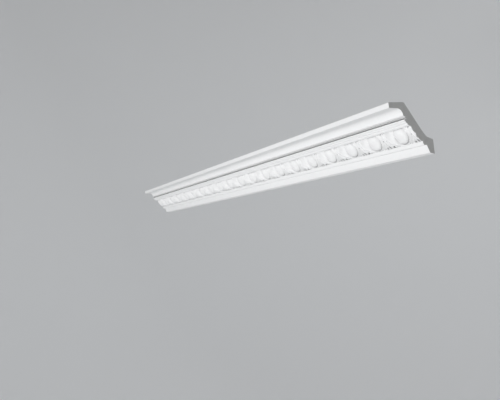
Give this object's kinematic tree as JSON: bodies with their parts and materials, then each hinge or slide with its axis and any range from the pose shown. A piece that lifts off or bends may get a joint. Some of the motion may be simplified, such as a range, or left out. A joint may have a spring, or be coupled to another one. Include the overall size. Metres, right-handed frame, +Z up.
{
  "type": "cornice moulding length",
  "caption": "Square-cut length of egg-and-dart cornice moulding with a cavetto, small reeds and a stepped foot, glued into the corner of wall and ceiling.",
  "frame": {"origin": "centre of the narrow face that is glued to the wall, half way along the length", "axes": "+X runs along the moulding to the end that is cut beside a dart, +Y points into the wall and +Z up to the ceiling"},
  "size_m": [1.18, 0.073, 0.075],
  "materials": {
    "primed_white": "matte white primer on moulded hard foam"
  },
  "bodies": {
    "root": {"cornice": "primed_white"}
  },
  "joints": []
}
